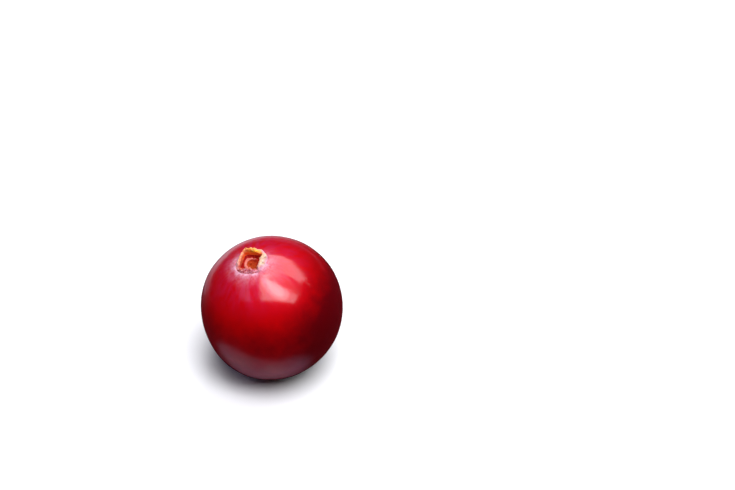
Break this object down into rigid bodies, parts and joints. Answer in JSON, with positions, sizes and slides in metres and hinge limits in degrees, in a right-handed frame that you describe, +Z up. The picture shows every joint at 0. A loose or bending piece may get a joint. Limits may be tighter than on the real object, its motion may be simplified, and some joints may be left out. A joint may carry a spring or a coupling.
{
  "type": "cranberry",
  "caption": "Round ripe cranberry with glossy red skin and a dried cream calyx crown round a small pit, lying on a small flat spot.",
  "frame": {"origin": "middle of the part's footprint box on the surface that the berry lies on", "axes": "+Z up, away from the surface; -Y faces the picture's camera; the calyx end leans 15.5 degrees from +Z, mostly towards -X"},
  "size_m": [0.0198, 0.02, 0.0206],
  "materials": {
    "skin": "glossy ripe berry skin with a thin pale bloom near the calyx",
    "dried_calyx": "dry matt plant tissue, cream to ochre with brown edges"
  },
  "bodies": {
    "root": {"berry": "skin", "calyx": "dried_calyx"}
  },
  "joints": []
}
